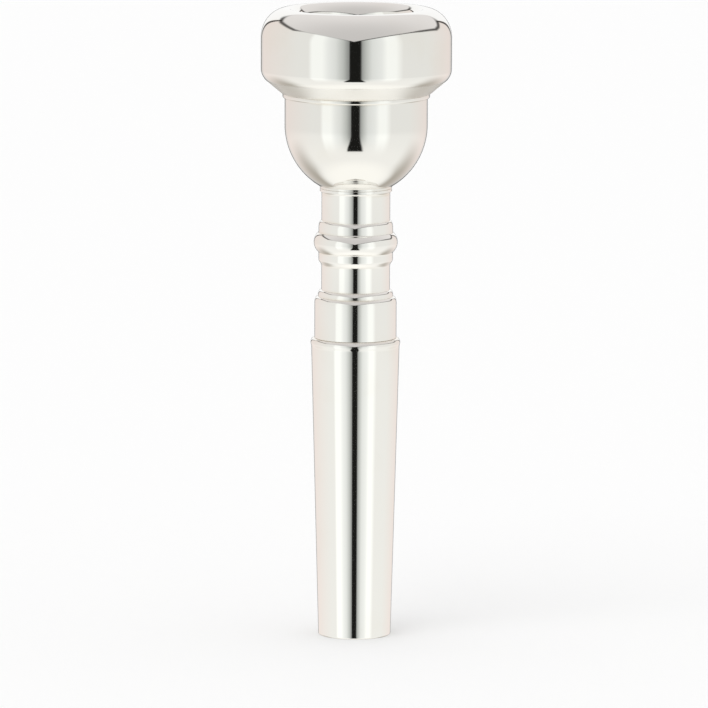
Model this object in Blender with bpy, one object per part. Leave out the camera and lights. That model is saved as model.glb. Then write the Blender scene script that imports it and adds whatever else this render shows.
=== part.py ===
"""A trumpet mouthpiece in silver-plated brass: screw rim, cup, backbore stem and push-on shank sleeve.

Metres, +Z up along the bore. The origin is the centre of the shank's small end.
"""

import math

import bmesh
import bpy
from mathutils import Matrix, Vector

MM = 0.001
FACETS = 48
ARC_STEP = math.radians(30)

# Fits between neighbouring pieces
SEAT_GAP = 0.3 * MM
FIT_GAP = 0.3 * MM
EDGE = 0.25 * MM

# Shank sleeve
SHANK_END_RADIUS = 5.0 * MM
SHANK_TAPER = 0.053
SHANK_END_WALL = 0.65 * MM
SLEEVE_LENGTH = 41.2 * MM
SLEEVE_LIP_HEIGHT = 0.6 * MM
SLEEVE_LIP_RISE = 0.1 * MM
SLEEVE_STOP_HEIGHT = 14.0 * MM
SLEEVE_WALL = 0.5 * MM

# Stem, from its collar up
NECK_RADIUS = 4.72 * MM
STEP_RISE = 0.45 * MM
COLLAR_RISE = 0.48 * MM
BEAD_STEP_RISE = 0.40 * MM
BEAD_RISE = 0.65 * MM
FLANGE_RISE = 0.23 * MM
COLLAR_HEIGHT = 5.5 * MM
STEP_HEIGHT = 1.0 * MM
LOWER_NECK_HEIGHT = 3.9 * MM
BEAD_STEP_HEIGHT = 1.65 * MM
BEAD_HEIGHT = 2.2 * MM
UPPER_NECK_HEIGHT = 4.1 * MM
FLANGE_HEIGHT = 0.7 * MM
STEM_TENON_HEIGHT = 6.8 * MM
STEM_TENON_WALL = 1.67 * MM
RELIEF_HEIGHT = 0.9 * MM
RELIEF_DEPTH = 0.3 * MM

# Cup
THROAT_RADIUS = 1.83 * MM
THROAT_ROUND = 2.0 * MM
BOWL_RADIUS = 7.75 * MM
CUP_TENON_WALL = 1.0 * MM
CUP_SHOULDER = 1.07 * MM
CUP_WALL_HEIGHT = 3.7 * MM
LIP_HEIGHT = 0.6 * MM
LIP_RISE = 0.3 * MM
CUP_TENON_HEIGHT = 7.6 * MM

# Rim
RIM_FOOT_WALL = 1.15 * MM
RIM_UNDERSIDE_HEIGHT = 2.4 * MM
RIM_CORNER_ROUND = 0.8 * MM
RIM_BAND_HEIGHT = 5.0 * MM
RIM_SHOULDER_WIDTH = 3.6 * MM
RIM_SHOULDER_HEIGHT = 4.0 * MM
BITE_WIDTH = 1.7 * MM
BITE_DEPTH = 2.0 * MM
BITE_LEAD = 0.05 * MM


def shank_radius(height):
    """The taper that seats in a receiver."""
    return SHANK_END_RADIUS + SHANK_TAPER / 2 * height


# Heights where one section ends and the next begins
sleeve_lip_foot = SLEEVE_LENGTH - SLEEVE_LIP_HEIGHT
collar_foot = SLEEVE_LENGTH + SEAT_GAP
collar_top = collar_foot + COLLAR_HEIGHT
step_top = collar_top + STEP_HEIGHT
lower_neck_top = step_top + LOWER_NECK_HEIGHT
bead_foot = lower_neck_top + BEAD_STEP_HEIGHT
bead_top = bead_foot + BEAD_HEIGHT
bead_step_top = bead_top + BEAD_STEP_HEIGHT
upper_neck_top = bead_step_top + UPPER_NECK_HEIGHT
flange_top = upper_neck_top + FLANGE_HEIGHT
stem_tenon_top = flange_top + STEM_TENON_HEIGHT
spigot_foot = SLEEVE_STOP_HEIGHT + SEAT_GAP

# Radii that follow from a neighbour's
step_radius = NECK_RADIUS + STEP_RISE
collar_radius = step_radius + COLLAR_RISE
bead_step_radius = NECK_RADIUS + BEAD_STEP_RISE
flange_radius = NECK_RADIUS + FLANGE_RISE
sleeve_lip_radius = shank_radius(sleeve_lip_foot) + SLEEVE_LIP_RISE
sleeve_socket_radius = shank_radius(SLEEVE_STOP_HEIGHT) - SLEEVE_WALL
spigot_radius = sleeve_socket_radius - FIT_GAP
exit_radius = SHANK_END_RADIUS - SHANK_END_WALL
stem_tenon_radius = THROAT_RADIUS + STEM_TENON_WALL
stem_socket_radius = stem_tenon_radius + FIT_GAP
cup_tenon_radius = BOWL_RADIUS + CUP_TENON_WALL
cup_radius = cup_tenon_radius + CUP_SHOULDER
lip_radius = cup_radius + LIP_RISE
rim_socket_radius = cup_tenon_radius + FIT_GAP
rim_foot_radius = rim_socket_radius + RIM_FOOT_WALL
mouth_radius = BOWL_RADIUS + BITE_LEAD
crest_radius = mouth_radius + BITE_WIDTH
rim_radius = crest_radius + RIM_SHOULDER_WIDTH

# Heights of the cup and the rim, seat by seat
cup_foot = flange_top + SEAT_GAP
cup_centre = cup_foot + math.sqrt(cup_radius**2 - flange_radius**2)
lip_foot = cup_centre + CUP_WALL_HEIGHT
lip_top = lip_foot + LIP_HEIGHT
cup_tenon_top = lip_top + CUP_TENON_HEIGHT
stem_socket_top = stem_tenon_top + SEAT_GAP
rim_foot = lip_top + SEAT_GAP
rim_ledge = cup_tenon_top + SEAT_GAP
band_foot = rim_foot + RIM_UNDERSIDE_HEIGHT
band_top = band_foot + RIM_BAND_HEIGHT
crest_top = band_top + RIM_SHOULDER_HEIGHT
bite_foot = crest_top - BITE_DEPTH


def backbore_radius(height):
    """The backbore is one cone, from the throat at the stem's flange to the open end of the shank."""
    return exit_radius - (exit_radius - THROAT_RADIUS) * height / flange_top


def arc(radius, height, reach, rise, start, end, steps):
    """Corners along an ellipse about (radius, height), between two angles in degrees."""
    corners = []
    for i in range(steps + 1):
        angle = math.radians(start + (end - start) * i / steps)
        corners.append((radius + reach * math.cos(angle), height + rise * math.sin(angle), 0))
    return corners


def rounded(corners):
    """The closed outline of (radius, height, edge round) corners, with an arc at each rounded one."""
    points = []
    for i, (radius, height, size) in enumerate(corners):
        here = Vector((radius, height))
        if size == 0:
            points.append(here)
            continue
        before = Vector(corners[i - 1][:2]) - here
        after = Vector(corners[(i + 1) % len(corners)][:2]) - here
        half = before.angle(after) / 2
        reach = min(size / math.tan(half), 0.45 * before.length, 0.45 * after.length)
        toward = (before.normalized() + after.normalized()).normalized()
        centre = here + toward * reach / math.cos(half)
        spoke = here + before.normalized() * reach - centre
        last = here + after.normalized() * reach - centre
        sweep = math.atan2(spoke.cross(last), spoke.dot(last))
        steps = max(2, math.ceil(abs(sweep) / ARC_STEP))
        for k in range(steps + 1):
            points.append(centre + Matrix.Rotation(sweep * k / steps, 2) @ spoke)
    return points


def turned(name, corners, colour, roughness):
    """One piece off the lathe: the outline spun about the bore."""
    shape = bmesh.new()
    verts = [shape.verts.new((point.x, 0, point.y)) for point in rounded(corners)]
    edges = [shape.edges.new((verts[i - 1], verts[i])) for i in range(len(verts))]
    bmesh.ops.spin(
        shape,
        geom=verts + edges,
        cent=(0, 0, 0),
        axis=(0, 0, 1),
        angle=math.tau,
        steps=FACETS,
        use_merge=True,
        use_duplicate=False,
    )
    bmesh.ops.remove_doubles(shape, verts=shape.verts, dist=0.001 * MM)
    bmesh.ops.recalc_face_normals(shape, faces=shape.faces)
    mesh = bpy.data.meshes.new(name)
    shape.to_mesh(mesh)
    shape.free()
    mesh.shade_smooth()
    mesh.set_sharp_from_angle(angle=math.radians(35))
    metal = bpy.data.materials.new(name + "_silver")
    metal.use_nodes = True
    shader = metal.node_tree.nodes["Principled BSDF"]
    shader.inputs["Base Color"].default_value = colour
    shader.inputs["Metallic"].default_value = 1
    shader.inputs["Roughness"].default_value = roughness
    mesh.materials.append(metal)
    piece = bpy.data.objects.new(name, mesh)
    bpy.context.scene.collection.objects.link(piece)
    return piece


for old in list(bpy.data.objects):
    bpy.data.objects.remove(old)

# Shank sleeve: up the taper, over the proud lip, down the socket to its stop, out along the backbore
turned(
    "shank_sleeve",
    [
        (SHANK_END_RADIUS, 0, EDGE),
        (shank_radius(sleeve_lip_foot), sleeve_lip_foot, 0),
        (sleeve_lip_radius, sleeve_lip_foot + SLEEVE_LIP_RISE, 0),
        (sleeve_lip_radius, SLEEVE_LENGTH, EDGE),
        (sleeve_socket_radius, SLEEVE_LENGTH, EDGE),
        (sleeve_socket_radius, SLEEVE_STOP_HEIGHT, 0),
        (backbore_radius(SLEEVE_STOP_HEIGHT), SLEEVE_STOP_HEIGHT, 0),
        (exit_radius, 0, 0),
    ],
    (0.90, 0.89, 0.86, 1),
    0.12,
)

# Stem: up the spigot, the collar, the bead and the neck to the threaded tenon, then down the bore
turned(
    "stem",
    [
        (spigot_radius, spigot_foot, EDGE),
        (spigot_radius, collar_foot, 0),
        (collar_radius, collar_foot, EDGE),
        (collar_radius, collar_top, EDGE),
        (step_radius, collar_top, 0),
        (step_radius, step_top, EDGE),
        (NECK_RADIUS, step_top, EDGE),
        (NECK_RADIUS, lower_neck_top, EDGE),
        (bead_step_radius, lower_neck_top, EDGE),
    ]
    + arc(bead_step_radius, (bead_foot + bead_top) / 2, BEAD_RISE, BEAD_HEIGHT / 2, -90, 90, 8)
    + [
        (bead_step_radius, bead_step_top, EDGE),
        (NECK_RADIUS, bead_step_top, EDGE),
        (NECK_RADIUS, upper_neck_top, EDGE),
        (flange_radius, upper_neck_top + FLANGE_RISE, 0),
        (flange_radius, flange_top, 0),
        (stem_tenon_radius - RELIEF_DEPTH, flange_top, 0),
        (stem_tenon_radius - RELIEF_DEPTH, flange_top + RELIEF_HEIGHT, 0),
        (stem_tenon_radius, flange_top + RELIEF_HEIGHT + RELIEF_DEPTH, 0),
        (stem_tenon_radius, stem_tenon_top, EDGE),
        (THROAT_RADIUS, stem_tenon_top, 0),
        (THROAT_RADIUS, flange_top, 0),
        (backbore_radius(spigot_foot), spigot_foot, 0),
    ],
    (0.90, 0.89, 0.86, 1),
    0.10,
)

# Cup: up the round outside and the lip to the tenon, down the bowl and the throat to the stem's socket
throat_round_radius = THROAT_RADIUS + THROAT_ROUND
throat_round_drop = math.sqrt((BOWL_RADIUS + THROAT_ROUND) ** 2 - throat_round_radius**2)
throat_round_height = rim_ledge - throat_round_drop
bowl_end = math.degrees(math.atan2(throat_round_drop, throat_round_radius))
bowl_start = math.degrees(math.asin(SEAT_GAP / BOWL_RADIUS))
cup_start = -math.degrees(math.acos(flange_radius / cup_radius))
turned(
    "cup",
    arc(0, cup_centre, cup_radius, cup_radius, cup_start, 0, 9)
    + [
        (cup_radius, lip_foot, 0),
        (lip_radius, lip_foot, EDGE),
        (lip_radius, lip_top, EDGE),
        (cup_tenon_radius - RELIEF_DEPTH, lip_top, 0),
        (cup_tenon_radius - RELIEF_DEPTH, lip_top + RELIEF_HEIGHT, 0),
        (cup_tenon_radius, lip_top + RELIEF_HEIGHT + RELIEF_DEPTH, 0),
        (cup_tenon_radius, cup_tenon_top, EDGE),
    ]
    + arc(0, rim_ledge, BOWL_RADIUS, BOWL_RADIUS, -bowl_start, -bowl_end, 9)
    + arc(throat_round_radius, throat_round_height, THROAT_ROUND, THROAT_ROUND, 180 - bowl_end, 180, 4)[1:]
    + [
        (THROAT_RADIUS, stem_socket_top, 0),
        (stem_socket_radius, stem_socket_top, 0),
        (stem_socket_radius, cup_foot, EDGE),
    ],
    (0.92, 0.91, 0.88, 1),
    0.08,
)

# Rim: up the underside, the band and the shoulder, over the bite, down to the ledge and the socket
turned(
    "rim",
    [
        (rim_foot_radius, rim_foot, EDGE),
        (rim_radius, band_foot, RIM_CORNER_ROUND),
    ]
    + arc(crest_radius, band_top, RIM_SHOULDER_WIDTH, RIM_SHOULDER_HEIGHT, 0, 90, 8)
    + arc(crest_radius, bite_foot, BITE_WIDTH, BITE_DEPTH, 90, 180, 6)[1:]
    + [
        (BOWL_RADIUS, rim_ledge, 0),
        (rim_socket_radius, rim_ledge, 0),
        (rim_socket_radius, rim_foot, EDGE),
    ],
    (0.92, 0.91, 0.88, 1),
    0.06,
)
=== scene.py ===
"""A mouthpiece in silver-plated brass, put together from its shank sleeve up to its rim."""

import math

import bpy
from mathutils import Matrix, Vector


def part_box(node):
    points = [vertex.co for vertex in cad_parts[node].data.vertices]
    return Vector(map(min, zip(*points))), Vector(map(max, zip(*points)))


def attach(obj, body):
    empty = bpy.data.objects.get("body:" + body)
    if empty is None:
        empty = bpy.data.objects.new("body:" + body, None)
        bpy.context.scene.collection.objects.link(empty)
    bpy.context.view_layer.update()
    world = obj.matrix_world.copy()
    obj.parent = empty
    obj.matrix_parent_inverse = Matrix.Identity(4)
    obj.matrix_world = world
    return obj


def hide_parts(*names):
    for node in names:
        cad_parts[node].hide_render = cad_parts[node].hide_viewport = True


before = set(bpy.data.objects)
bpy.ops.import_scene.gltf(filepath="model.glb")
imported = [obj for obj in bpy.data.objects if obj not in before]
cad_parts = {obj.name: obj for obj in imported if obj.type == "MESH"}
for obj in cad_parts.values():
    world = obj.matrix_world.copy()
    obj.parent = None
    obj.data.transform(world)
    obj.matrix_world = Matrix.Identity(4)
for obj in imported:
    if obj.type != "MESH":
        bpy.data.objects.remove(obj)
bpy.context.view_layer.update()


# Shank sleeve: a brass tube turned to a slow, standard taper and silver plated, with the end of the backbore
# reamed in its foot. The stem's spigot is pushed into its socket down to a stop, and its lip stands proud.

MM = 0.001
SEAM = 0.012 * MM


class Outline:
    """Half of a turned piece, drawn beside the bore point by point, as on a lathe drawing, and then spun."""

    def __init__(self, name, radius, height):
        bpy.ops.object.select_all(action="DESELECT")
        bpy.ops.mesh.primitive_plane_add(size=MM, location=(radius, 0, height))
        bpy.ops.object.transform_apply(location=True)
        self.piece = bpy.context.object
        self.piece.name = name
        self.piece.data.name = name
        bpy.ops.object.mode_set(mode="EDIT")
        bpy.ops.mesh.select_all(action="SELECT")
        bpy.ops.mesh.merge(type="CENTER")
        self.start = (radius, height)
        self.end = (radius, height)

    def line(self, *places):
        """Straight cuts on to each (radius, height)."""
        for radius, height in places:
            step = (radius - self.end[0], 0, height - self.end[1])
            bpy.ops.mesh.extrude_region_move(TRANSFORM_OT_translate={"value": step})
            self.end = (radius, height)
        return self

    def arc(self, radius, height, degrees, steps):
        """A round cut about (radius, height); positive degrees turn from +X up to +Z."""
        angle = math.radians(degrees)
        bpy.ops.mesh.spin(steps=steps, angle=angle, center=(radius, 0, height), axis=(0, 1, 0))
        across = self.end[0] - radius
        up = self.end[1] - height
        self.end = (
            radius + across * math.cos(angle) - up * math.sin(angle),
            height + across * math.sin(angle) + up * math.cos(angle),
        )
        return self

    def oval(self, radius, height, reach, rise, start, end, steps):
        """A cut along an ellipse about (radius, height), from one angle to another in degrees."""
        for i in range(1, steps + 1):
            angle = math.radians(start + (end - start) * i / steps)
            self.line((radius + reach * math.cos(angle), height + rise * math.sin(angle)))
        return self

    def select(self, *places):
        """Selects the outline's points at these places, and no others."""
        bpy.ops.mesh.select_all(action="DESELECT")
        bpy.ops.object.mode_set(mode="OBJECT")
        for vert in self.piece.data.vertices:
            for radius, height in places:
                near = math.hypot(vert.co.x - radius, vert.co.z - height) < 0.01 * MM
                vert.select = vert.select or near
        bpy.ops.object.mode_set(mode="EDIT")

    def close(self):
        """The last edge, from the end of the outline back to its start."""
        self.select(self.start, self.end)
        bpy.ops.mesh.edge_face_add()
        return self

    def soften(self, size, *places):
        """Rounds the corners at these places."""
        self.select(*places)
        bpy.ops.mesh.bevel(affect="VERTICES", offset=size, segments=6)
        return self

    def turn(self, steps=240):
        """Spins the closed outline round the bore into one closed skin, whose long walls shade true."""
        bpy.ops.mesh.select_all(action="SELECT")
        bpy.ops.mesh.spin(steps=steps, angle=math.tau, center=(0, 0, 0), axis=(0, 0, 1))
        self.finish()
        bpy.ops.object.shade_smooth_by_angle(angle=math.radians(28))
        true_walls = self.piece.modifiers.new("true_walls", "WEIGHTED_NORMAL")
        true_walls.weight = 80
        true_walls.keep_sharp = True
        bpy.ops.object.modifier_apply(modifier=true_walls.name)
        return self.piece

    def finish(self):
        """Merges the seam and turns the faces outward."""
        bpy.ops.mesh.select_all(action="SELECT")
        bpy.ops.mesh.remove_doubles(threshold=0.001 * MM)
        bpy.ops.mesh.select_all(action="SELECT")
        bpy.ops.mesh.normals_make_consistent(inside=False)
        bpy.ops.object.mode_set(mode="OBJECT")


class Finish:
    """A value in a finish's node tree: sums and products of these add the Math nodes that work them out."""

    def __init__(self, tree, socket=None):
        self.tree = tree
        self.socket = socket

    def add(self, kind, settings, values, output=0):
        """One node: its settings first, then a number or a link for each of its sockets."""
        node = self.tree.nodes.new(kind)
        for name, value in settings.items():
            if name == "stops":
                ramp = node.color_ramp.elements
                while len(ramp) < len(value):
                    ramp.new(1)
                for stop, (place, colour) in zip(ramp, value):
                    stop.position = place
                    stop.color = (*colour, 1)
            else:
                setattr(node, name, value)
        for name, value in values.items():
            if isinstance(value, Finish):
                self.tree.links.new(value.socket, node.inputs[name])
            else:
                node.inputs[name].default_value = value
        return Finish(self.tree, node.outputs[output])

    def maths(self, operation, *others):
        """This value, put through a Math node with any others."""
        return self.add("ShaderNodeMath", {"operation": operation}, dict(enumerate((self, *others))))

    def __add__(self, other):
        return self.maths("ADD", other)

    def __sub__(self, other):
        return self.maths("SUBTRACT", other)

    def __rsub__(self, other):
        return self.add("ShaderNodeMath", {"operation": "SUBTRACT"}, {0: other, 1: self})

    def __mul__(self, other):
        return self.maths("MULTIPLY", other)

    __radd__ = __add__
    __rmul__ = __mul__

    def between(self, low, high):
        """0 below low and 1 above high, with a soft step from one to the other."""
        settings = {"interpolation_type": "SMOOTHSTEP"}
        return self.add("ShaderNodeMapRange", settings, {"Value": self, "From Min": low, "From Max": high})

    def axes(self):
        """The X, Y and Z of a vector."""
        return [self.add("ShaderNodeSeparateXYZ", {}, {0: self}, output) for output in range(3)]

    def mix(self, first, second):
        """A blend of two colours, by this value."""
        settings = {"data_type": "RGBA"}
        return self.add("ShaderNodeMix", settings, {0: self, 6: first, 7: second}, 2)


SILVER = (0.975, 0.965, 0.94, 1)
TARNISH = (0.80, 0.71, 0.55, 1)
BRASS = (0.78, 0.58, 0.28, 1)
RINGS_ALONG = 9000
RINGS_AROUND = 60
HAZE_SCALE = 140
SPECK_SCALE = 2600
GROOVE_REACH = 0.35 * MM
SATIN_ROUGHNESS = 0.30
GRAIN_DEPTH = 0.02 * MM


def silver_plate(name, silver, bare, recesses, gloss, satin=None):
    """Bright silver plate: polishing rings, a handled haze, tarnish in the recesses and dull hidden fits.

    bare takes the radius and the height, and gives where the plate is thin and machined, from 0 to 1.
    recesses are the heights of the grooves that polishing doesn't reach.
    satin takes the height, and gives where the plate is only brushed, from 0 to 1.
    """
    metal = bpy.data.materials.new(name)
    metal.use_nodes = True
    shader = metal.node_tree.nodes["Principled BSDF"]
    here = Finish(metal.node_tree)
    place = here.add("ShaderNodeTexCoord", {}, {}, "Object")
    x, y, height = place.axes()
    radius = (x * x + y * y).maths("SQRT")
    fit = bare(radius, height)

    along = (height + radius) * RINGS_ALONG
    rings_at = here.add("ShaderNodeCombineXYZ", {}, {0: x * RINGS_AROUND, 1: y * RINGS_AROUND, 2: along})
    rings = here.add("ShaderNodeTexNoise", {}, {"Vector": rings_at, "Scale": 1.0, "Detail": 3.0})
    haze = here.add("ShaderNodeTexNoise", {}, {"Vector": place, "Scale": HAZE_SCALE, "Detail": 4.0})
    specks = here.add("ShaderNodeTexNoise", {}, {"Vector": place, "Scale": SPECK_SCALE, "Detail": 2.0})

    groove = 0
    for level in recesses:
        groove = groove + (1 - (height - level).maths("ABSOLUTE").between(0, GROOVE_REACH))
    dirt = groove * haze.between(0.3, 0.7)
    aged = (dirt * 0.30 + haze.between(0.52, 0.80) * 0.10).mix(silver, TARNISH)
    worn = (fit * (0.3 + 0.3 * rings.between(0.4, 0.6) + 0.2 * specks.between(0.45, 0.62))).mix(aged, BRASS)
    metal.node_tree.links.new(worn.socket, shader.inputs["Base Color"])

    rough = gloss + rings * 0.03 + haze.between(0.45, 0.75) * 0.03 + dirt * 0.10 + fit * 0.20
    if satin:
        rough = rough + satin(height) * SATIN_ROUGHNESS
    metal.node_tree.links.new(rough.socket, shader.inputs["Roughness"])

    shader.inputs["Metallic"].default_value = 1
    grain = rings * (0.12 + 2.2 * fit) + haze * 0.15
    bump = here.add("ShaderNodeBump", {}, {"Height": grain, "Strength": 0.06, "Distance": GRAIN_DEPTH})
    metal.node_tree.links.new(bump.socket, shader.inputs["Normal"])
    return metal


SLEEVE_END_RADIUS = 5.0 * MM
SLEEVE_LIP_RISE = 0.1 * MM
SLEEVE_LIP_HEIGHT = 1.15 * MM
SLEEVE_LIP_REACH = 0.5 * MM
SLEEVE_LIP_ROUND = 0.68 * MM
SLEEVE_LIP_EDGE = 0.15 * MM
SLEEVE_END_EDGE = 0.2 * MM
SLEEVE_STOP = 14.0 * MM
SLEEVE_SOCKET_RADIUS = 4.871 * MM
SLEEVE_SLOPE = 0.026
SLEEVE_WALL = (4.45 * MM, 4.7 * MM)
BACKBORE_EXIT = 4.35 * MM
BACKBORE_EDGE = 0.1 * MM
THROAT_RADIUS = 1.83 * MM
FLANGE_TOP = 62.2 * MM
COLLAR_FOOT = 41.5 * MM

sleeve_top = COLLAR_FOOT - SEAM
sleeve_lip_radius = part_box("shank_sleeve")[1][0]
sleeve_lip_foot = sleeve_top - SLEEVE_LIP_HEIGHT
sleeve_lip_turn = sleeve_top - SLEEVE_LIP_ROUND


def backbore(height):
    """The radius of the backbore, one cone from the throat at the stem's flange to the shank's end."""
    return BACKBORE_EXIT - (BACKBORE_EXIT - THROAT_RADIUS) * height / FLANGE_TOP


sleeve = Outline("shank_sleeve_plated", BACKBORE_EXIT, 0)
sleeve.line((SLEEVE_END_RADIUS, 0), (sleeve_lip_radius - SLEEVE_LIP_RISE, sleeve_lip_foot))
sleeve.line((sleeve_lip_radius, sleeve_lip_turn))
sleeve.oval(
    sleeve_lip_radius - SLEEVE_LIP_REACH, sleeve_lip_turn, SLEEVE_LIP_REACH, SLEEVE_LIP_ROUND, 0, 90, 18
)
sleeve.line((SLEEVE_SOCKET_RADIUS, sleeve_top), (SLEEVE_SOCKET_RADIUS, SLEEVE_STOP))
sleeve.line((backbore(SLEEVE_STOP), SLEEVE_STOP))
sleeve.close()
sleeve.soften(SLEEVE_END_EDGE, (SLEEVE_END_RADIUS, 0), (SLEEVE_SOCKET_RADIUS, sleeve_top))
sleeve.soften(BACKBORE_EDGE, (BACKBORE_EXIT, 0))
sleeve.soften(SLEEVE_LIP_EDGE, (sleeve_lip_radius - SLEEVE_LIP_RISE, sleeve_lip_foot))
sleeve_piece = sleeve.turn()


def sleeve_inside(radius, height):
    """The socket and the backbore, which no one polishes."""
    return 1 - (radius - SLEEVE_SLOPE * height).between(*SLEEVE_WALL)


sleeve_piece.data.materials.append(silver_plate("sleeve_silver", SILVER, sleeve_inside, [sleeve_top], 0.045))
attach(sleeve_piece, "shank_sleeve")
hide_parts("shank_sleeve")


# Stem: one bar of brass turned to a stepped collar, two necks, a bead between two rings and a small flange.
# A plain spigot goes down into the sleeve and a threaded tenon up into the cup, with the backbore inside.

SPIGOT_RADIUS = 4.571 * MM
SPIGOT_EDGE = 0.35 * MM
SEAM_EDGE = 0.04 * MM
COLLAR_RADIUS = 5.65 * MM
COLLAR_TOP = 47.22 * MM
COLLAR_ROUND = 0.8 * MM
STEP_RADIUS = 5.17 * MM
STEP_TOP = 48.14 * MM
STEP_ROUND = 0.77 * MM
NECK_RADIUS = 4.72 * MM
LOWER_NECK_TOP = 51.64 * MM
BEAD_RING_RADIUS = 5.12 * MM
BEAD_RING_FOOT = 52.25 * MM
BEAD_FOOT = 53.37 * MM
BEAD_TOP = 56.13 * MM
BEAD_RING_TOP = 57.75 * MM
BEAD_RING_ROUND = 1.0 * MM
BEAD_RING_EDGE = 0.16 * MM
BEAD_CORNER = 0.22 * MM
UPPER_NECK_TOP = 61.5 * MM
FLANGE_RADIUS = 4.95 * MM
FLANGE_FLARE = 0.32 * MM
TENON_EDGE = 0.12 * MM
STEM_TENON_ROOT = 3.2 * MM
STEM_TENON_CREST = 3.5 * MM
STEM_PITCH = 0.8 * MM
STEM_TURNS = 6
STEM_THREAD_START = 1.3 * MM
STEM_BORE = (3.6 * MM, 3.9 * MM)
THIN_PLATE = 0.8

spigot_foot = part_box("stem")[0][2]
stem_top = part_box("stem")[1][2]
bead_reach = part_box("stem")[1][0] - BEAD_RING_RADIUS
bead_ring_reach = BEAD_RING_RADIUS - NECK_RADIUS
bead_half = (BEAD_TOP - BEAD_FOOT) / 2
bead_round = (bead_reach**2 + bead_half**2) / (2 * bead_reach)
bead_sweep = 2 * math.degrees(math.asin(bead_half / bead_round))


def wind_thread(name, root, crest, foot, pitch, turns):
    """A screw thread: a blunt ridge wound round the bore, fading into the metal at both ends."""
    sink = math.copysign(0.05 * MM, root - crest)
    ridge = Outline(name, root + sink, foot - 0.46 * pitch)
    ridge.line((crest, foot - 0.07 * pitch), (crest, foot + 0.07 * pitch))
    ridge.line((root + sink, foot + 0.46 * pitch))
    ridge.close()
    bpy.ops.object.mode_set(mode="OBJECT")
    thread = ridge.piece
    screw = thread.modifiers.new("thread", "SCREW")
    screw.axis = "Z"
    screw.screw_offset = pitch
    screw.iterations = turns
    screw.steps = 96
    screw.render_steps = 96
    screw.use_merge_vertices = False
    bpy.ops.object.modifier_apply(modifier=screw.name)
    for vert in thread.data.vertices:
        turn = (math.atan2(vert.co.y, vert.co.x) / math.tau) % 1
        wound = (vert.co.z - foot) / pitch
        along = round(wound - turn) + turn
        fade = max(0, min(1, 3 * along, 3 * (turns - along)))
        reach = math.hypot(vert.co.x, vert.co.y)
        kept = (root + sink + (reach - root - sink) * fade) / reach
        vert.co.x *= kept
        vert.co.y *= kept
    bpy.ops.object.mode_set(mode="EDIT")
    bpy.ops.mesh.select_all(action="SELECT")
    bpy.ops.mesh.fill_holes(sides=4)
    ridge.finish()
    bpy.ops.object.shade_smooth_by_angle(angle=math.radians(28))
    return thread


def join(piece, *others):
    """Makes one mesh of a piece and what is cut on it."""
    bpy.ops.object.select_all(action="DESELECT")
    for other in others:
        other.select_set(True)
    piece.select_set(True)
    bpy.context.view_layer.objects.active = piece
    bpy.ops.object.join()


stem = Outline("stem_plated", backbore(spigot_foot), spigot_foot)
stem.line((SPIGOT_RADIUS, spigot_foot), (SPIGOT_RADIUS, COLLAR_FOOT), (COLLAR_RADIUS, COLLAR_FOOT))
stem.line((COLLAR_RADIUS, COLLAR_TOP - COLLAR_ROUND))
stem.oval(STEP_RADIUS, COLLAR_TOP - COLLAR_ROUND, COLLAR_RADIUS - STEP_RADIUS, COLLAR_ROUND, 0, 90, 14)
stem.line((STEP_RADIUS, STEP_TOP - STEP_ROUND))
stem.oval(NECK_RADIUS, STEP_TOP - STEP_ROUND, STEP_RADIUS - NECK_RADIUS, STEP_ROUND, 0, 90, 14)
stem.line((NECK_RADIUS, LOWER_NECK_TOP))
stem.line((BEAD_RING_RADIUS, BEAD_RING_FOOT), (BEAD_RING_RADIUS, BEAD_FOOT))
stem.arc(BEAD_RING_RADIUS + bead_reach - bead_round, (BEAD_FOOT + BEAD_TOP) / 2, bead_sweep, 24)
stem.line((BEAD_RING_RADIUS, BEAD_RING_TOP - BEAD_RING_ROUND))
stem.oval(NECK_RADIUS, BEAD_RING_TOP - BEAD_RING_ROUND, bead_ring_reach, BEAD_RING_ROUND, 0, 90, 16)
stem.line((NECK_RADIUS, UPPER_NECK_TOP))
stem.oval(FLANGE_RADIUS, UPPER_NECK_TOP, FLANGE_RADIUS - NECK_RADIUS, FLANGE_FLARE, 180, 90, 12)
stem.line((FLANGE_RADIUS, FLANGE_TOP), (STEM_TENON_ROOT, FLANGE_TOP), (STEM_TENON_ROOT, stem_top))
stem.line((THROAT_RADIUS, stem_top), (THROAT_RADIUS, FLANGE_TOP))
stem.close()
stem.soften(SPIGOT_EDGE, (SPIGOT_RADIUS, spigot_foot))
stem.soften(TENON_EDGE, (STEM_TENON_ROOT, stem_top), (FLANGE_RADIUS, UPPER_NECK_TOP + FLANGE_FLARE))
stem.soften(BEAD_RING_EDGE, (NECK_RADIUS, LOWER_NECK_TOP), (BEAD_RING_RADIUS, BEAD_RING_FOOT))
stem.soften(BEAD_CORNER, (BEAD_RING_RADIUS, BEAD_FOOT), (BEAD_RING_RADIUS, BEAD_TOP))
stem.soften(SEAM_EDGE, (COLLAR_RADIUS, COLLAR_FOOT), (FLANGE_RADIUS, FLANGE_TOP))
stem_piece = stem.turn()
stem_thread = wind_thread(
    "stem_thread", STEM_TENON_ROOT, STEM_TENON_CREST, FLANGE_TOP + STEM_THREAD_START, STEM_PITCH, STEM_TURNS
)
join(stem_piece, stem_thread)


def stem_inside(radius, height):
    """The spigot, the threaded tenon and the backbore."""
    spigot = 1 - height.between(COLLAR_FOOT - 0.1 * MM, COLLAR_FOOT)
    tenon = height.between(FLANGE_TOP - 0.05 * MM, FLANGE_TOP + 0.05 * MM)
    bore = 1 - radius.between(*STEM_BORE)
    return spigot.maths("MAXIMUM", tenon).maths("MAXIMUM", bore) * THIN_PLATE


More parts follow.
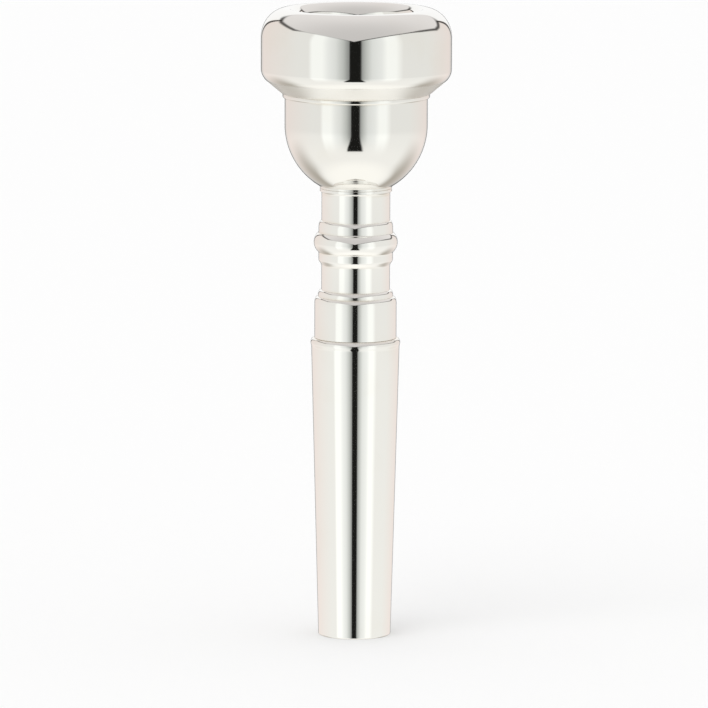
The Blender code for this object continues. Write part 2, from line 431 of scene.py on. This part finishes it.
stem_recesses = [COLLAR_TOP, STEP_TOP, LOWER_NECK_TOP, BEAD_FOOT, BEAD_TOP, BEAD_RING_TOP, UPPER_NECK_TOP]
stem_piece.data.materials.append(silver_plate("stem_silver", SILVER, stem_inside, stem_recesses, 0.04))
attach(stem_piece, "stem")
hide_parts("stem")


# Cup: a bowl turned inside and out, with the throat drilled through its bottom and a lip under the rim.
# Its foot is threaded for the stem's tenon, and the thin wall above the lip is threaded for the rim.

CUP_RADIUS = 9.82 * MM
LIP_FOOT = 74.681 * MM
LIP_TOP = 75.281 * MM
LIP_ROUND = 0.25 * MM
FINE_EDGE = 0.05 * MM
CUP_TENON_ROOT = 8.45 * MM
CUP_TENON_CREST = 8.75 * MM
CUP_TENON_WALL = (7.85 * MM, 8.05 * MM)
CUP_TENON_EDGE = 0.20 * MM
CUP_THREAD_START = 1.4 * MM
CUP_PITCH = 0.9 * MM
CUP_TURNS = 6
BOWL_RADIUS = 7.75 * MM
BOWL_CENTRE = 83.181 * MM
THROAT_ROUND = 2.0 * MM
STEM_SOCKET_TOP = 69.3 * MM
STEM_SOCKET_ROOT = 3.92 * MM
STEM_SOCKET_CREST = 3.62 * MM
STEM_SOCKET_WALL = (4.0 * MM, 4.2 * MM)
STEM_SOCKET_FADE = 71 * MM
SOCKET_THREAD_START = 1.2 * MM
FINE_STEPS = 400
HANDLED_SILVER = (0.93, 0.92, 0.895, 1)

cup_foot = FLANGE_TOP + SEAM
solid_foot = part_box("cup")[0][2]
cup_centre = solid_foot + math.sqrt(CUP_RADIUS**2 - FLANGE_RADIUS**2)
cup_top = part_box("cup")[1][2]
lip_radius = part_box("cup")[1][0]
cup_foot_radius = math.sqrt(CUP_RADIUS**2 - (cup_centre - solid_foot) ** 2)
throat_round_radius = THROAT_RADIUS + THROAT_ROUND
throat_round_drop = math.sqrt((BOWL_RADIUS + THROAT_ROUND) ** 2 - throat_round_radius**2)
bowl_low = math.degrees(math.atan2(throat_round_drop, throat_round_radius))
bowl_high = math.degrees(math.asin((BOWL_CENTRE - cup_top) / BOWL_RADIUS))
bowl_edge = BOWL_RADIUS * math.cos(math.radians(bowl_high))
cup_low = math.degrees(math.acos(cup_foot_radius / CUP_RADIUS))

cup = Outline("cup_plated", STEM_SOCKET_ROOT, cup_foot)
cup.line((cup_foot_radius, cup_foot), (cup_foot_radius, solid_foot))
cup.arc(0, cup_centre, cup_low, 40)
cup.line((CUP_RADIUS, LIP_FOOT), (lip_radius, LIP_FOOT), (lip_radius, LIP_TOP), (CUP_TENON_ROOT, LIP_TOP))
cup.line((CUP_TENON_ROOT, cup_top), (bowl_edge, cup_top))
cup.arc(0, BOWL_CENTRE, bowl_high - bowl_low, 40)
cup.arc(throat_round_radius, BOWL_CENTRE - throat_round_drop, bowl_low, 16)
cup.line((THROAT_RADIUS, STEM_SOCKET_TOP), (STEM_SOCKET_ROOT, STEM_SOCKET_TOP))
cup.close()
cup.soften(LIP_ROUND, (lip_radius, LIP_FOOT))
cup.soften(FINE_EDGE, (lip_radius, LIP_TOP), (CUP_RADIUS, LIP_FOOT))
cup.soften(CUP_TENON_EDGE, (CUP_TENON_ROOT, cup_top))
cup.soften(SEAM_EDGE, (cup_foot_radius, cup_foot))
cup_piece = cup.turn(FINE_STEPS)
cup_thread = wind_thread(
    "cup_thread", CUP_TENON_ROOT, CUP_TENON_CREST, LIP_TOP + CUP_THREAD_START, CUP_PITCH, CUP_TURNS
)
socket_thread_foot = cup_foot + SOCKET_THREAD_START
socket_thread = wind_thread(
    "socket_thread", STEM_SOCKET_ROOT, STEM_SOCKET_CREST, socket_thread_foot, STEM_PITCH, STEM_TURNS
)
join(cup_piece, cup_thread, socket_thread)


def cup_inside(radius, height):
    """The threaded wall above the lip and the threaded socket in the foot; the bowl is polished."""
    wall = height.between(LIP_TOP - 0.02 * MM, LIP_TOP + 0.02 * MM) * radius.between(*CUP_TENON_WALL)
    above_socket = height.between(STEM_SOCKET_TOP, STEM_SOCKET_FADE)
    socket = (1 - radius.between(*STEM_SOCKET_WALL)) * (1 - above_socket)
    return (wall + socket) * THIN_PLATE


cup_recesses = [cup_foot, LIP_FOOT, LIP_TOP]
cup_piece.data.materials.append(silver_plate("cup_silver", HANDLED_SILVER, cup_inside, cup_recesses, 0.035))
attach(cup_piece, "cup")
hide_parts("cup")


# Rim: a heavy ring with a round shoulder and a soft inner edge for the lips, finely polished.
# Its socket screws down over the cup's thread until its foot meets the lip; its wall carries the bowl on.

CREST_RADIUS = 9.5 * MM
SHOULDER_HEIGHT = 4.0 * MM
BITE_WIDTH = 1.7 * MM
BITE_DEPTH = 2.0 * MM
BAND_FOOT = 77.73 * MM
BAND_CORNER = 0.9 * MM
RIM_FOOT_RADIUS = 10.2 * MM
RIM_SOCKET_ROOT = 9.17 * MM
RIM_SOCKET_CREST = 8.87 * MM
RIM_SOCKET_WALL = (9.2 * MM, 9.35 * MM)
RIM_SOCKET_EDGE = 0.15 * MM
RIM_LEDGE_EDGE = (7.8 * MM, 8.05 * MM)
SATIN_TOP = (1.6 * MM, 2.2 * MM)

rim_foot = LIP_TOP + SEAM
rim_ledge = cup_top + SEAM
rim_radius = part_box("rim")[1][0]
rim_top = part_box("rim")[1][2]
band_top = rim_top - SHOULDER_HEIGHT

rim = Outline("rim_plated", RIM_SOCKET_ROOT, rim_foot)
rim.line((RIM_FOOT_RADIUS, rim_foot), (rim_radius, BAND_FOOT), (rim_radius, band_top))
rim.oval(CREST_RADIUS, band_top, rim_radius - CREST_RADIUS, SHOULDER_HEIGHT, 0, 90, 40)
rim.oval(CREST_RADIUS, rim_top - BITE_DEPTH, BITE_WIDTH, BITE_DEPTH, 90, 180, 28)
rim.line((BOWL_RADIUS, rim_ledge), (RIM_SOCKET_ROOT, rim_ledge))
rim.close()
rim.soften(BAND_CORNER, (rim_radius, BAND_FOOT))
rim.soften(RIM_SOCKET_EDGE, (RIM_SOCKET_ROOT, rim_foot))
rim.soften(FINE_EDGE, (RIM_FOOT_RADIUS, rim_foot))
rim_piece = rim.turn(FINE_STEPS)
rim_thread = wind_thread(
    "rim_thread", RIM_SOCKET_ROOT, RIM_SOCKET_CREST, rim_foot + SOCKET_THREAD_START, CUP_PITCH, CUP_TURNS
)
join(rim_piece, rim_thread)


def rim_inside(radius, height):
    """The threaded socket."""
    low = 1 - height.between(rim_ledge, rim_ledge + 0.1 * MM)
    return low * (1 - radius.between(*RIM_SOCKET_WALL)) * radius.between(*RIM_LEDGE_EDGE) * THIN_PLATE


def rim_corner(height):
    """The angle between the rim's underside and the cup, where the polishing wheel doesn't fit."""
    return 1 - (height - rim_foot).between(*SATIN_TOP)


rim_piece.data.materials.append(
    silver_plate("rim_silver", HANDLED_SILVER, rim_inside, [rim_foot], 0.03, rim_corner)
)
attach(rim_piece, "rim")
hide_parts("rim")


# Studio: a pale floor in soft daylight, between tall pale panels with a dark slot for the lens, a grey
# ceiling cut to straight edges above them and a white backdrop behind, all of which the metal mirrors.

CAMERA_DISTANCE = 965 * MM
CAMERA_HEIGHT = 179 * MM
CAMERA_SIDE = -0.67 * MM
CAMERA_ROLL = math.radians(-0.2)
AIM_HEIGHT = 39.13 * MM
FIELD = math.radians(5.733)
DAYLIGHT = 0.92
SUN_STRENGTH = 0.45
SUN_TURN = (math.radians(28), math.radians(-24), 0)
SUN_SPREAD = math.radians(40)
FLOOR_SIZE = 6
FLOOR_COLOUR = (0.96, 0.96, 0.96, 1)
CEILING_FRONT = (0.60, 0.585, 0.575, 1)
CEILING_BACK = (0.81, 0.785, 0.775, 1)
FLOOR_TONE = (1.04, 1.03, 0.98, 1)
FLOOR_EDGE = (0.93, 0.925, 0.89, 1)
FLOOR_BACK = (0.44, 0.41, 0.36, 1)
SLOT_TONE = (0.011, 0.011, 0.010, 1)
SHADE_TONE = (0.03, 0.028, 0.026, 1)
WHITE_TONE = (1, 1, 1, 1)
BACK_WALL = (0.61, 0.61, 0.60)
ROSE_WALL = (0.84, 0.76, 0.72)
GREY_WALL = (0.82, 0.82, 0.79)
LIT_BAR = (0.99, 1.01, 0.98)
PALE_GREY = (0.85, 0.87, 0.85)
MID_GREY = (0.75, 0.77, 0.75)
DIM_GREY = (0.50, 0.52, 0.50)
DARK_GREY = (0.30, 0.31, 0.30)
PANEL_TONES = [
    (-170, BACK_WALL),
    (-150, ROSE_WALL),
    (-75, GREY_WALL),
    (-60, GREY_WALL),
    (-55, LIT_BAR),
    (-42, LIT_BAR),
    (-34, PALE_GREY),
    (-25, MID_GREY),
    (-15, DIM_GREY),
    (-10, DARK_GREY),
    (6, DARK_GREY),
    (11, DIM_GREY),
    (19, MID_GREY),
    (31, PALE_GREY),
    (38, LIT_BAR),
    (49, LIT_BAR),
    (59, GREY_WALL),
    (95, GREY_WALL),
    (150, ROSE_WALL),
    (170, BACK_WALL),
]
PANEL_FOOT = (-0.74, -0.20)
PANEL_GLOW = (-0.26, -0.10)
FLOOR_FADE = (-0.95, -0.75)
SLOT_LEFT = (-9.3, -7.3)
SLOT_RIGHT = (4.5, 7.5)
SLOT_FOOT = (-0.63, -0.60)
SLOT_FLARE = (-0.62, -0.16)
BACKDROP_LEAN = 0.2275
BACKDROP_JOINT = 0.892
BACKDROP_EDGE = (0.900, 0.914)
CEILING_EDGES = [(67, 0.62), (133, 0.36), (180, 0.54), (-150, 0.61), (-110, 0.65), (-74, 0.66)]
CEILING_BLUR = 0.008
RAIL_PLACE = 0.015
RAIL_WIDTH = (0.004, 0.028)

bpy.ops.mesh.primitive_plane_add(size=FLOOR_SIZE, location=(0, 0, 0))
floor = bpy.context.object
floor.name = "floor"
pale = bpy.data.materials.new("pale_floor")
pale.use_nodes = True
paint = pale.node_tree.nodes["Principled BSDF"]
paint.inputs["Base Color"].default_value = FLOOR_COLOUR
paint.inputs["Roughness"].default_value = 0.9
paint.inputs["Specular IOR Level"].default_value = 0.1
floor.data.materials.append(pale)
floor.visible_glossy = False

world = bpy.data.worlds.new("studio")
bpy.context.scene.world = world
world.use_nodes = True
world.cycles.sampling_method = "NONE"
room = Finish(world.node_tree)
backing = world.node_tree.nodes["Background"]
side, depth, rise = room.add("ShaderNodeTexCoord", {}, {}, "Generated").axes()
facing = side.maths("ARCTAN2", 0 - depth) * (1 / math.tau) + 0.5


def turned_to(degrees):
    """Where a direction lies on the panels, from 0 to 1, with the camera's own at the middle."""
    return degrees / 360 + 0.5


# The panels all round, a little brighter near the floor, and the floor itself, shaded behind the piece.
stops = [(turned_to(degrees), tone) for degrees, tone in PANEL_TONES]
panels = room.add("ShaderNodeValToRGB", {"stops": stops}, {0: facing})
nearer_floor = 1.08 - rise.between(*PANEL_GLOW) * 0.08
panels = room.add("ShaderNodeVectorMath", {"operation": "SCALE"}, {"Vector": panels, "Scale": nearer_floor})
low = 1 - rise.between(*PANEL_FOOT)
ground = rise.between(*FLOOR_FADE).mix(FLOOR_TONE, FLOOR_EDGE)
ground = (depth.between(0, 0.6) * rise.between(-0.86, -0.70)).mix(ground, FLOOR_BACK)
walls = low.mix(panels, ground)

# The slot that the camera looks through, which flares to twice its width at its foot.
ahead = (facing - 0.5) * (0.5 + rise.between(*SLOT_FLARE) * 0.5) + 0.5
left = ahead.between(*(turned_to(degrees) for degrees in SLOT_LEFT))
right = ahead.between(*(turned_to(degrees) for degrees in SLOT_RIGHT))
above_foot = rise.between(*SLOT_FOOT)
walls = ((left - right) * above_foot).mix(walls, SLOT_TONE)

# The leaning edge of the white backdrop, with a thin dark joint, and a slot straight behind in a soft shade.
behind = (facing - 0.5).maths("ABSOLUTE") * 2
leaning = behind + rise * BACKDROP_LEAN
joint = 1 - (leaning - BACKDROP_JOINT).maths("ABSOLUTE").between(0.004, 0.018)
walls = joint.mix(walls, SHADE_TONE)
walls = leaning.between(*BACKDROP_EDGE).mix(walls, WHITE_TONE)
level = above_foot * (1 - rise.between(-0.05, 0.05))
walls = (behind.between(0.915, 0.97) * level * 0.7).mix(walls, SHADE_TONE)
walls = (behind.between(0.955, 0.967) * level).mix(walls, SLOT_TONE)

# The ceiling: straight edges, each facing one way and cut at its own slope, and a dark rail along them.
ceiling = rise + 1
for degrees, slope in CEILING_EDGES:
    across = slope * math.sin(math.radians(degrees))
    along = slope * math.cos(math.radians(degrees))
    ceiling = ceiling.maths("MINIMUM", rise - side * across + depth * along)
overhead = depth.between(-1, 0.9).mix(CEILING_FRONT, CEILING_BACK)
walls = ceiling.between(-CEILING_BLUR, CEILING_BLUR).mix(walls, overhead)
beside = depth.between(-0.3, 0.1)
framed = (side.between(0, 0.15).maths("MAXIMUM", beside) * 0.6 + 0.3) * (1 - depth.between(0.72, 0.84))
from_rail = (ceiling + RAIL_PLACE).maths("ABSOLUTE") * (0.65 - beside * 0.33)
rail = 1 - from_rail.between(*RAIL_WIDTH)
mirrored = (rail * framed).mix(walls, SHADE_TONE)

# Only the metal sees that room; everything else is lit by an even daylight.
glossy = room.add("ShaderNodeLightPath", {}, {}, "Is Glossy Ray")
seen = glossy.mix((DAYLIGHT, DAYLIGHT, DAYLIGHT, 1), mirrored)
world.node_tree.links.new(seen.socket, backing.inputs["Color"])

bpy.ops.object.light_add(type="SUN", rotation=SUN_TURN)
sun = bpy.context.object
sun.data.energy = SUN_STRENGTH
sun.data.angle = SUN_SPREAD
sun.visible_glossy = False

bpy.ops.object.camera_add(location=(CAMERA_SIDE, -CAMERA_DISTANCE, CAMERA_HEIGHT))
camera = bpy.context.object
camera.data.angle = FIELD
camera.data.clip_start = 0.01
tilt = math.atan2(CAMERA_HEIGHT - AIM_HEIGHT, CAMERA_DISTANCE)
camera.rotation_euler = (math.pi / 2 - tilt, CAMERA_ROLL, 0)
bpy.context.scene.camera = camera
bpy.context.scene.view_settings.view_transform = "Standard"
